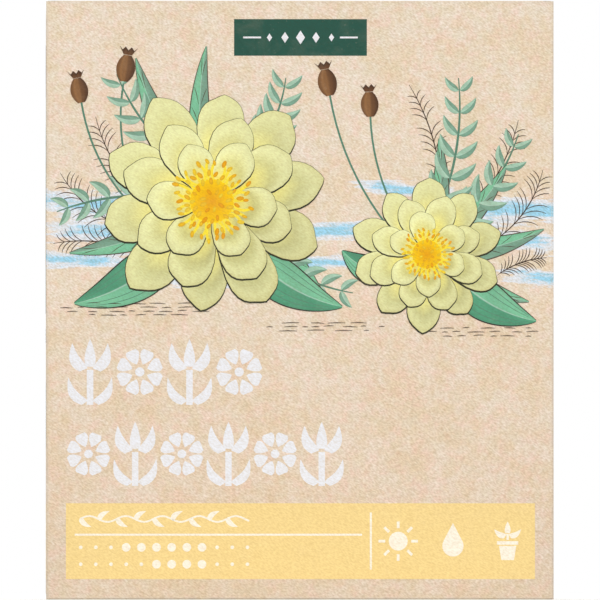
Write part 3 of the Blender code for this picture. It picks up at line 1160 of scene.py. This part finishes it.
def frond(sheet, foot, tip, bulge, length):
    """An ink-only spray of short curved strokes along a stem."""
    ink = sheet.on("ink_far")
    path = arc_path(foot, tip, bulge, 16)
    ways = headings(path)
    ink.line(path, BOLD_PEN, LINE_BROWN)
    for index in range(1, FROND_PAIRS):
        near = int((len(path) - 1) * index / FROND_PAIRS)
        size = length * math.sin(math.pi * (0.12 + 0.8 * index / FROND_PAIRS)) ** 0.7
        for side in (-1, 1):
            end = path[near] + cmath.rect(size, cmath.phase(ways[near]) + side * 0.85)
            ink.line(arc_path(path[near], end, -0.18 * side, 5), FROND_PEN, LINE_BROWN)


def grow(draw, sheet, rows, heart=0j, flip=1):
    """Draws one plant part for each row: foot, tip, bulge, and then its own sizes."""
    for foot, tip, bulge, *sizes in rows:
        draw(sheet, heart + mirrored(foot, flip), heart + mirrored(tip, flip), bulge * flip,
             *sizes)


def pod(sheet, foot, top, size):
    """A brown seed capsule with its crown, on a bowed stem."""
    path = arc_path(foot, top, 0.10, 12)
    sheet.on("stems").line(path, POD_STEM, SAGE_DEEP, False)
    way = cmath.rect(size, cmath.phase(path[-1] - path[-2]))
    across = way * -1j
    rows = []
    for row in range(9):
        t = row / 8
        half = across * 0.36 * math.sin(math.pi * (0.07 + 0.86 * t)) ** 0.6
        line = []
        for step in range(-4, 5):
            s = step / 4
            tone = blend(POD_PALE, POD_BROWN, min(1.0, abs(s + 0.35) * 1.3))
            tone = blend(tone, POD_DARK, max(0.0, s) ** 2 * 0.7 + (0.25 if step % 2 else 0.0))
            line.append((top + way * t + half * s, tone))
        rows.append(line)
    sheet.on("pods").grid(rows)
    crown = top + way * 1.02
    rows = [[], []]
    for step in range(-3, 4):
        side = across * step / 3
        peak = 0.30 if step % 2 else 0.17
        rows[0].append((crown + side * 0.16, POD_BROWN))
        rows[1].append((crown + side * 0.34 + way * peak, POD_DARK))
    sheet.on("pods").grid(rows)


def pods(sheet, rows, heart=0j, flip=1):
    for foot, top, size in rows:
        pod(sheet, heart + mirrored(foot, flip), heart + mirrored(top, flip), size)


def hatching(sheet, centre, width, rows):
    """Loose level ink strokes that set the plants on their ground."""
    draw = sheet.random.uniform
    for row in range(rows):
        reach = width * (0.35 + 0.65 * math.sin(math.pi * (row + 0.7) / (rows + 0.4)))
        at = -reach / 2 + draw(0, 2)
        while at < reach / 2:
            size = draw(1.6, 5.2)
            start = centre + complex(at, -row * HATCH_GAP + draw(-0.15, 0.15))
            end = start + complex(min(size, reach / 2 - at + 1), draw(-0.15, 0.15))
            sheet.on("ink").line([start, (start + end) / 2 + 0.08j, end], HATCH_PEN, LINE_BROWN)
            at += size + draw(0.8, 3.6)


def ground(sheet, rows, heart=0j):
    for centre, width, count in rows:
        hatching(sheet, heart + centre, width, count)


# Ornament and signs

PLATE_LOW, PLATE_HIGH = -18.7 + 154.3j, 19.0 + 164.7j
PLATE_DIAMONDS, PLATE_MARGIN = 11.2, 2.6
BAND_LOW, BAND_HIGH = -66.4 + 5.8j, 66.7 + 27.3j
BAND_RULE, BAND_SPLIT = 0.585, 0.65
# Rows of ornament: left, right, low, high and count
ORNAMENT_ROWS = ((-66.6, -10.2, 55.2, 73.9, 4), (-66.6, 12.8, 32.2, 50.4, 6))
# Months in which the plant is out, for each of two rows of dots
MONTHS_OUT = (range(3, 9), range(5, 9))
MONTH_DOT = 1.25
# Drops in pairs: foot, tip, width and bow, per unit of the size
TULIP_DROPS = ((0.10 + 0.53j, 0.27 + 0.94j, 0.18, -0.14), (0.08 + 0.03j, 0.33 + 0.42j, 0.15, -0.16))
POT_DROPS = ((0.06 + 0.12j, 0.34 + 0.30j, 0.15, -0.12),)
POT_OUTLINES = ((-0.22 - 0.12j, -0.16 - 0.48j, 0.16 - 0.48j, 0.22 - 0.12j),
                (-0.27 + 0.0j, -0.27 - 0.09j, 0.27 - 0.09j, 0.27 + 0.0j))


def panel(layer, low, high, colour):
    """A filled rectangle."""
    layer.grid([[(complex(u, v), colour) for u in (low.real, high.real)]
                for v in (low.imag, high.imag)])


def drop(layer, foot, tip, width, colour, bow=0.0):
    """A teardrop with its point at the tip."""
    way = tip - foot
    path, halves = [], []
    for step in range(9):
        t = step / 8
        swell = math.sin(math.pi * (0.10 + 0.90 * t) ** 0.62) ** 0.85
        path.append(foot + way * t + way * 1j * bow * math.sin(math.pi * t))
        halves.append(way / abs(way) * 1j * width / 2 * swell)
    layer.ribbon(path, halves, colour, (-1, 0, 1))


def drop_pairs(layer, centre, size, rows, colour):
    for side in (-1, 1):
        for foot, tip, width, bow in rows:
            drop(layer, centre + size * mirrored(foot, side), centre + size * mirrored(tip, side),
                 size * width, colour, bow * side)


def rosette(sheet, centre, radius):
    """A round ornament of eight drops about a dot."""
    for index in range(8):
        way = cmath.rect(radius, math.tau * (index + 0.5) / 8)
        drop(sheet.on("flats"), centre + way * 0.98, centre + way * 0.34, radius * 0.575, WHITE_INK)
    sheet.on("details").fill(circle(centre, radius * 0.2, 16), WHITE_INK)


def tulip(layer, foot, height):
    """A folk tulip: three drops over a stem and a pair of curled leaves."""
    drop(layer, foot + 0.58j * height, foot + 1j * height, height * 0.17, WHITE_INK)
    drop_pairs(layer, foot, height, TULIP_DROPS, WHITE_INK)
    layer.line([foot, foot + 0.25j * height, foot + 0.53j * height], height * 0.10, WHITE_INK,
               False)


def ornament_rows(sheet):
    """Two rows of white folk ornament, tulips and rosettes by turns."""
    for row, (left, right, low, high, count) in enumerate(ORNAMENT_ROWS):
        pitch = (right - left) / count
        for index in range(count):
            middle = left + pitch * (index + 0.5)
            if (index + row) % 2:
                rosette(sheet, complex(middle, (low + high) / 2), pitch * 0.47)
            else:
                tulip(sheet.on("flats"), complex(middle, low), high - low)


def plate(sheet):
    """The dark green plate, with a plain row of diamonds in its middle and a line either side."""
    details = sheet.on("details")
    panel(sheet.on("flats"), PLATE_LOW, PLATE_HIGH, PLATE_GREEN)
    centre = (PLATE_LOW + PLATE_HIGH) / 2
    reach = (PLATE_HIGH - PLATE_LOW).real / 2 - PLATE_MARGIN
    for index in range(-2, 3):
        spot = centre + index * 4.4
        size = 1.3 - 0.275 * abs(index)
        details.fill([spot - size, spot - 1.5j * size, spot + size, spot + 1.5j * size], WHITE_INK)
    for side in (-1, 1):
        details.line([centre + side * PLATE_DIAMONDS,
                      centre + side * (PLATE_DIAMONDS + reach) / 2 * 1.15,
                      centre + side * reach], PLATE_PEN, WHITE_INK, False)


def sun_sign(layer, centre, size, colour):
    layer.fill(circle(centre, size * 0.24, 20), colour)
    for index in range(8):
        way = cmath.rect(size, math.tau * index / 8)
        layer.line([centre + way * 0.33, centre + way * 0.5], size * 0.07, colour, False)


def drop_sign(layer, centre, size, colour):
    """A drop: a round belly drawn up to a point."""
    belly = centre - 0.12j * size
    outline = [belly + cmath.rect(size * 0.27, math.radians(a)) for a in range(150, 391, 15)]
    layer.fill(outline + [centre + 0.46j * size], colour)


def pot_sign(layer, centre, size, colour):
    """A flower pot with its rim, a stalk and three leaves."""
    for outline in POT_OUTLINES:
        layer.fill([centre + size * corner for corner in outline], colour)
    layer.line([centre + 0.03j * size, centre + 0.1j * size, centre + 0.18j * size],
               size * 0.06, colour, False)
    drop(layer, centre + 0.2j * size, centre + 0.5j * size, size * 0.15, colour)
    drop_pairs(layer, centre, size, POT_DROPS, colour)


def care_signs(layer, middle, pitch, size, colour):
    """A sun, a drop and a pot in a row."""
    for place, sign in zip((-pitch, 0, pitch), (sun_sign, drop_sign, pot_sign)):
        sign(layer, middle + place, size, colour)


def year_rows(layer, left, pitch, levels):
    """Rows of twelve dots for the months, larger where the plant is out."""
    for level, shown in zip(levels, MONTHS_OUT):
        for month in range(12):
            radius = MONTH_DOT if month in shown else MONTH_DOT * 0.42
            layer.fill(circle(complex(left + pitch * month, level), radius, 14), CREAM_INK)


def vine(layer, start, length, pitch):
    """A waving stem with a leaf in each of its bends."""
    def at(run):
        return start + complex(run, 0.16 * pitch * math.sin(math.pi * run / pitch))
    steps = round(length / pitch * 6)
    layer.line([at(length * step / steps) for step in range(steps + 1)], pitch * 0.1, CREAM_INK,
               False)
    for index in range(round(length / pitch)):
        side = -1 if index % 2 else 1
        foot = at(pitch * index) + 0.03j * pitch * side
        tip = foot + pitch * complex(0.62, -0.46 * side)
        drop(layer, foot, tip, pitch * 0.3, CREAM_INK, -0.12 * side)


def rule(layer, start, middle, end):
    layer.line([start, middle, end], RULE_PEN, CREAM_INK, False)


def band(sheet):
    """The yellow foot band: rules, a vine, two rows of months and three care signs."""
    low, high = BAND_LOW, BAND_HIGH
    details = sheet.on("details")
    panel(sheet.on("flats"), low, high, BAND_YELLOW)
    level = low.imag + BAND_RULE * (high - low).imag
    split = low.real + BAND_SPLIT * (high - low).real
    middle = (low + high).imag / 2
    rule(details, complex(low.real + 2.5, level), complex((low.real + split) / 2, level),
         complex(split - 2.5, level))
    rule(details, complex(split, low.imag + 2.7), complex(split, middle),
         complex(split, high.imag - 2.6))
    vine(details, complex(low.real + 4, (level + high.imag) / 2), 48, 5.2)
    year_rows(details, low.real + 4.2, 4.3, (low.imag + 9.0, low.imag + 4.2))
    step = (high.real - split) / 3
    care_signs(details, complex(split + 1.5 * step, middle), step, min(step * 0.72, 11.5),
               CREAM_INK)


# Level blue strokes: place round the box from the front's middle, reach, level, thickness
STROKES = ((-58, 30, 113, 3.2), (-50, 26, 105, 2.6), (-66, 22, 97, 2.8), (-24, 20, 90, 2.0),
           (8, 22, 104, 2.6), (4, 18, 95, 2.2), (62, 26, 110, 3.4), (56, 24, 101, 3.0),
           (74, 22, 91, 2.6), (30, 18, 117, 2.0), (-106, 28, 109, 3.0), (-98, 24, 100, 2.6),
           (-134, 22, 104, 2.8), (-120, 26, 92, 2.4), (-144, 16, 112, 2.2), (106, 28, 108, 3.0),
           (100, 24, 98, 2.6), (134, 22, 103, 2.8), (122, 24, 92, 2.4), (144, 16, 112, 2.2))
WASH_LOW, WASH_HIGH = 82, 122
WASH_ENDS = 168
WASH_PITCH = 1.3


def blueness(around, level):
    """How much blue lies at a place, by its way round the box from the front's middle."""
    total = 0.0
    for centre, reach, middle, height in STROKES:
        across = (around - centre) / reach
        up = (level - middle - 0.8 * math.sin(around * 0.13)) / height
        total += math.exp(-2 * across ** 4 - up * up)
    fade = min(1.0, (level - WASH_LOW) / 4, (WASH_HIGH - level) / 4,
               (WASH_ENDS - abs(around)) / 12)
    return held(total * 0.95) * max(0.0, fade)


def evenly(low, high, steps):
    return [low + (high - low) * step / steps for step in range(steps + 1)]


def wash(sheet, right, shift=0.0):
    """The band of thin blue watercolour on one face, as far to the left as to the right."""
    stops = evenly(-right, right, round(2 * right / WASH_PITCH))
    if right > FLAT_END:
        folds = evenly(FLAT_END, FOLD_END, 4)
        stops = ([-stop for stop in reversed(folds)]
                 + [stop for stop in stops if abs(stop) < FLAT_END - WASH_PITCH / 4] + folds)
    levels = evenly(WASH_LOW, WASH_HIGH, round((WASH_HIGH - WASH_LOW) / WASH_PITCH))
    sheet.on("wash").grid([[(complex(stop, level), SKY_BLUE, blueness(stop + shift, level))
                            for stop in stops] for level in levels])


# Layouts

LARGE_HEART, SMALL_HEART, SIDE_HEART = -25 + 113j, 36 + 98j, -4 + 104j
# Blossoms: radius and turn
LARGE_BLOSSOM, SMALL_BLOSSOM, SIDE_BLOSSOM = (31, 0.2), (20.5, 0.9), (22, 0.5)
BACK_BLOSSOM, LID_BLOSSOM = (19, 0.3), (15, 0.3)
# Fronds: foot, tip, bulge and length of the strokes
FRONT_FRONDS = ((-44 + 104j, -68 + 121j, 0.15, 7.0), (-40 + 110j, -58 + 137j, 0.12, 6.5),
                (52 + 100j, 69 + 122j, -0.15, 7.0), (46 + 108j, 62 + 136j, -0.10, 6.0),
                (40 + 112j, 31 + 146j, -0.10, 5.0), (-44 + 98j, -70 + 101j, -0.10, 6.0),
                (56 + 92j, 70 + 97j, 0.10, 4.5))
SIDE_FRONDS = ((28 + 98j, 45 + 118j, -0.15, 6.5), (26 + 104j, 40 + 132j, -0.12, 6.0),
               (-28 + 100j, -46 + 122j, 0.12, 6.5))
# Boughs, from the blossom: foot, tip, bulge, pairs of leaves, and a leaf's length and width
LARGE_BOUGHS = ((6j, -27 + 36j, 0.12, 7, 11, 3.6), (4 + 6j, 21 + 35j, -0.14, 7, 11, 3.6),
                (-6, -44 - 3j, -0.10, 6, 10, 3.6), (8 - 8j, 40 - 26j, -0.12, 6, 10, 3.6))
SMALL_BOUGHS = ((4j, 26 + 34j, -0.14, 6, 10, 3.4), (5j, 9 + 50j, -0.10, 7, 10, 3.4))
SIDE_BOUGHS = ((0j, 30 + 26j, -0.14, 6, 10, 3.4), (0j, -28 + 30j, 0.14, 6, 10, 3.4))
# Long leaves: angle, reach and width
LARGE_LEAVES = ((118, 46, 7), (92, 44, 6.5), (200, 43, 7.5), (225, 41, 8), (318, 44, 8))
SMALL_LEAVES = ((12, 34, 6.5), (48, 34, 6), (84, 33, 5.5), (335, 32, 6.5))
SIDE_LEAVES = ((25, 33, 6.4), (62, 31, 6.4), (98, 33, 6.4), (134, 31, 6.4), (168, 33, 6.4))
# Broad leaves: foot, tip, bulge and width
FRONT_BROAD_LEAVES = ((-38 + 98j, -64 + 84j, 0.10, 13), (-12 + 96j, 12 + 83j, -0.10, 12),
                      (46 + 90j, 67 + 79j, -0.10, 11.5), (24 + 92j, 12 + 99j, 0.10, 8))
SIDE_BROAD_LEAVES = ((13 - 10j, 38 - 20j, -0.10, 11), (-13 - 10j, -36 - 20j, 0.10, 11))
# Pods: foot, top and size
FRONT_PODS = ((32 + 102j, 20 + 137j, 7.0), (30 + 100j, 8.5 + 143j, 7.5),
              (-48 + 112j, -62 + 141j, 7.0), (-46 + 114j, -50 + 147j, 7.5))
SIDE_PODS = ((6j, 8 + 40j, 7.5), (6j, -6 + 44j, 8.0))
# Ground strokes: middle, width and rows
FRONT_GROUND = ((-46 + 84j, 46, 4), (6 + 78.5j, 34, 3), (52 + 77j, 36, 3))
SIDE_GROUND = ((-27j, 62, 4),)
# The sides' lower part: round signs and a foot band
SIGN_MIDDLE, SIGN_PITCH, SIGN_DISC, SIGN_SIZE = 53j, 26, 9.5, 11.5
SIDE_BAND = 43
SIDE_RULE, SIDE_RULE_LEVEL = 39, 17.4j
SIDE_VINE = (-36 + 22.3j, 72, 6.0)
SIDE_MONTHS = (-33, 6, (12.8, 8.4))
# The back: half sizes of the wreath and three pictures of a pot in a row
WREATH_HEART, WREATH_WIDTH, WREATH_HEIGHT = 116j, 31, 27
WREATH_POD_TOP, WREATH_POD_SIZE = 40, 7.0
PICTURE_LOW, PICTURE_SIZE, PICTURE_PITCH = -66.4 + 36j, 41.1 + 40j, 46
POT = (-8 + 10j, -6 - 4j, 6 - 4j, 8 + 10j)
# Branches: pairs of leaves, and a leaf's length and width
WREATH_LEAVES, LID_STEM_LEAVES, LID_SPRIG_LEAVES = (8, 8.5, 3.2), (8, 10, 3.6), (5, 9, 3.4)


def print_front():
    """The front: wash, plate, ornament and band, then the two blossoms among their leaves."""
    sheet = Print("front", "carton", 11)
    wash(sheet, FOLD_END)
    plate(sheet)
    ornament_rows(sheet)
    band(sheet)
    grow(frond, sheet, FRONT_FRONDS)
    grow(bough, sheet, LARGE_BOUGHS, LARGE_HEART)
    long_leaves(sheet, LARGE_HEART, 0.08, LARGE_LEAVES)
    grow(broad_leaf, sheet, FRONT_BROAD_LEAVES)
    ground(sheet, FRONT_GROUND)
    blossom(sheet, LARGE_HEART, *LARGE_BLOSSOM)
    long_leaves(sheet, SMALL_HEART, -0.08, SMALL_LEAVES)
    grow(bough, sheet, SMALL_BOUGHS, SMALL_HEART)
    pods(sheet, FRONT_PODS)
    blossom(sheet, SMALL_HEART, *SMALL_BLOSSOM)
    sheet.finish()


def print_side(face, seed, flip):
    """A side: the wash and a spray at the front's height, care signs and a foot band."""
    sheet = Print(face, "carton", seed)
    heart = mirrored(SIDE_HEART, flip)
    wash(sheet, SIDE_END, -flip * (HALF_W + HALF_D) / MM)
    grow(frond, sheet, SIDE_FRONDS, flip=flip)
    long_leaves(sheet, heart, 0.08 * flip, SIDE_LEAVES)
    grow(bough, sheet, SIDE_BOUGHS, heart, flip)
    pods(sheet, SIDE_PODS, heart, flip)
    grow(broad_leaf, sheet, SIDE_BROAD_LEAVES, heart, flip)
    ground(sheet, SIDE_GROUND, heart)
    blossom(sheet, heart, *SIDE_BLOSSOM)
    side_foot(sheet.on("flats"), sheet.on("details"))
    sheet.finish()


def side_foot(flats, details):
    """The lower part of a side: care signs on green discs, and the foot band."""
    for place in (-SIGN_PITCH, 0, SIGN_PITCH):
        flats.fill(circle(SIGN_MIDDLE + place, SIGN_DISC, 40), PLATE_GREEN)
    care_signs(details, SIGN_MIDDLE, SIGN_PITCH, SIGN_SIZE, WHITE_INK)
    panel(flats, complex(-SIDE_BAND, BAND_LOW.imag), complex(SIDE_BAND, BAND_HIGH.imag),
          BAND_YELLOW)
    vine(details, *SIDE_VINE)
    rule(details, SIDE_RULE_LEVEL - SIDE_RULE, SIDE_RULE_LEVEL, SIDE_RULE_LEVEL + SIDE_RULE)
    year_rows(details, *SIDE_MONTHS)


def print_back():
    """The back: plate, a wreath round a blossom, three planting steps and a foot band."""
    sheet = Print("back", "carton", 31)
    plate(sheet)
    band(sheet)
    for side in (-1, 1):
        for rise in (-1, 1):
            path = [WREATH_HEART + complex(side * WREATH_WIDTH * math.sin(a),
                                           rise * WREATH_HEIGHT * math.cos(a))
                    for a in (math.radians(90 - 4.2 * k) for k in range(20))]
            layers = ("foliage_low", "foliage_high")[::rise]
            branch(sheet, path, *WREATH_LEAVES, layers, 0.7,
                   LEAF_GREEN if rise < 0 else SAGE_PALE)
        pod(sheet, WREATH_HEART + side * WREATH_WIDTH, WREATH_HEART + side * WREATH_POD_TOP,
            WREATH_POD_SIZE)
    blossom(sheet, WREATH_HEART, *BACK_BLOSSOM)
    for index in range(3):
        low = PICTURE_LOW + index * PICTURE_PITCH
        panel(sheet.on("flats"), low, low + PICTURE_SIZE, WHITE_INK)
        planting_step(sheet, low + 20.5 + 9j, index)
    sheet.finish()


def planting_step(sheet, foot, stage):
    """One small picture of a pot whose plant grows from step to step."""
    details, ink = sheet.on("details"), sheet.on("ink")
    pot = [foot + corner for corner in POT]
    details.fill(pot, CLAY, CLAY_PALE)
    ink.line(pot + [pot[0]], POT_PEN, LINE_BROWN, False)
    ink.line([foot - 14 - 4.4j, foot - 4.2j, foot + 14 - 4.4j], GROUND_PEN, LINE_BROWN)
    for side in (-1, 1):
        for level in range(stage + 1):
            base = foot + complex(0, 10 + level * 4)
            path = arc_path(base, base + complex(side * (8 - level), 6 + level), 0.15 * side, 10)
            leaf(sheet.on("foliage_low"), path, 3.6, LEAF_GREEN, SAGE)
    sheet.on("stems").line([foot + 10j, foot + complex(0, 13 + stage * 4)], STEM, SAGE_DEEP, False)
    if stage == 2:
        for index in range(8):
            petal(sheet.on("petals_outer_low" if index % 2 else "petals_outer_high"),
                  foot + 24j, math.tau * index / 8, 4.8, 0.42, rows=6, half=3)
        sheet.on("threads").fill(circle(foot + 24j, 1.5, 16), PETAL_GOLD)


def print_lid():
    """The top: three sprigs either side of a small blossom, read from the front."""
    sheet = Print("lid", "lid", 41)
    for side in (-1, 1):
        branch(sheet, arc_path(side * 6 + 0j, side * (44 + 4j), 0.10, 20), *LID_STEM_LEAVES)
        for rise in (-1, 1):
            branch(sheet, arc_path(complex(side * 5, rise * 4), complex(side * 30, rise * 20),
                                   0.12 * side * rise, 18), *LID_SPRIG_LEAVES)
    blossom(sheet, 0j, *LID_BLOSSOM)
    sheet.finish()


print_front()
print_side("left", 21, 1)
print_side("right", 22, -1)
print_back()
print_lid()


# Studio

FLOOR_PALE, FLOOR_WHITE = srgb(246, 246, 245), srgb(250, 250, 250)
WHITE = (1.0, 1.0, 1.0, 1.0)
ROOM_LIGHT = 0.5
SUN_TOWARD, SUN_STRENGTH, SUN_SOFTNESS = (-0.04, -0.33, 0.943), 2.12, 20.0
LENS = 1200.0
SENSOR = 36.0
CLIP_START, CLIP_END = 0.1, 100.0
FRAME_PIXELS = 600
CARTON_LEFT_PIXEL, CARTON_RIGHT_PIXEL = 46.5, 553.4
CARTON_TOP_PIXEL, CARTON_BOTTOM_PIXEL = 0.3, 599.5
SIDE_SLIVER = 0.001
CAMERA_HEIGHT = 4 * MM


def floor_material():
    material, nodes, shader = new_material("studio_floor", 0.1)
    shader["Roughness"].default_value = 0.9
    mottle = nodes.noise(nodes.place(), 3.0, 2.0)
    nodes.feed(shader["Base Color"], nodes.mix(nodes.times(mottle, 0.2), FLOOR_PALE, FLOOR_WHITE))
    return material


def make_floor():
    work = bmesh.new()
    bmesh.ops.create_grid(work, x_segments=1, y_segments=1, size=3.0)
    floor = add_shape("studio_floor", work, [floor_material()])


def make_sun():
    """A far soft lamp overhead. SUN_TOWARD points from the carton to the lamp."""
    data = bpy.data.lights.new("overhead", 'SUN')
    data.energy = SUN_STRENGTH
    data.angle = math.radians(SUN_SOFTNESS)
    light = add_object("overhead", data)
    light.rotation_euler = Vector(SUN_TOWARD).to_track_quat('Z', 'Y').to_euler()


def make_world():
    """Even white room light, seen as pure white behind the carton."""
    world = bpy.data.worlds.new("studio")
    bpy.context.scene.world = world
    world.use_nodes = True
    nodes = Nodes(world.node_tree)
    room = world.node_tree.nodes["Background"]
    nodes.feed(room.inputs["Color"], WHITE)
    nodes.feed(room.inputs["Strength"], ROOM_LIGHT)
    seen = nodes.fed("Background", {"Color": WHITE, "Strength": 1.0})
    mixed = nodes.fed("MixShader", {0: nodes.add("LightPath").outputs["Is Camera Ray"],
                                    1: room.outputs[0], 2: seen.outputs[0]})
    nodes.feed(world.node_tree.nodes["World Output"].inputs["Surface"], mixed.outputs[0])


def make_camera():
    """A long lens, a touch left of square, so that the left side just shows at its fold."""
    data = bpy.data.cameras.new("camera")
    data.lens = LENS
    data.sensor_width = SENSOR
    data.clip_start = CLIP_START
    data.clip_end = CLIP_END
    camera = add_object("camera", data)
    scale = HEIGHT / (CARTON_BOTTOM_PIXEL - CARTON_TOP_PIXEL)
    distance = FRAME_PIXELS * scale * LENS / SENSOR
    middle = FRAME_PIXELS / 2
    aim = Vector(((middle - (CARTON_LEFT_PIXEL + CARTON_RIGHT_PIXEL) / 2) * scale, -HALF_D,
                  (CARTON_BOTTOM_PIXEL - middle) * scale))
    place = Vector((-HALF_W - SIDE_SLIVER * distance, -HALF_D - distance, CAMERA_HEIGHT))
    camera.location = place
    camera.rotation_euler = (aim - place).to_track_quat('-Z', 'Y').to_euler()
    bpy.context.scene.camera = camera


make_floor()
make_world()
make_sun()
make_camera()
bpy.context.scene.view_settings.view_transform = 'Standard'
bpy.context.scene.view_settings.look = 'None'
